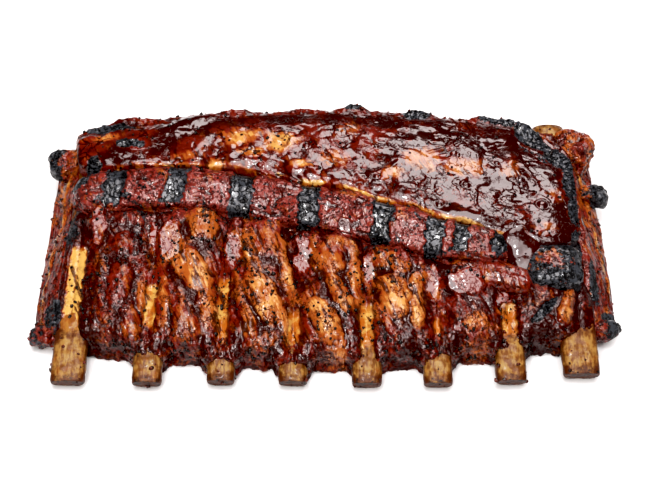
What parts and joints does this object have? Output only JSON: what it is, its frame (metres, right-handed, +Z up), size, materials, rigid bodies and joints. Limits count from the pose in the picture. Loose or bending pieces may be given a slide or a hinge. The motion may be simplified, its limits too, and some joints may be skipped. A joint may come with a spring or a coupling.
{
  "type": "rack of ribs",
  "caption": "Glazed rack of grilled pork back ribs lying bone side down, a thick loin strip along one edge and cut bone tips along the other.",
  "frame": {"origin": "centre of the footprint, on the surface that the rack lies on", "axes": "+X along the rack across the bones, -Y towards the bare bone tips, +Y towards the loin, +Z up with the bone side down"},
  "size_m": [0.247, 0.1304, 0.0385],
  "materials": {
    "glazed_meat": "glossy sticky glaze over browned, partly charred meat",
    "rib_bone": "dry cooked bone, tan, darker at the cut rim"
  },
  "bodies": {
    "root": {"meat": "glazed_meat", "rib_bone_1": "rib_bone", "rib_bone_2": "rib_bone", "rib_bone_3": "rib_bone", "rib_bone_4": "rib_bone", "rib_bone_5": "rib_bone", "rib_bone_6": "rib_bone", "rib_bone_7": "rib_bone", "rib_bone_8": "rib_bone"}
  },
  "joints": []
}
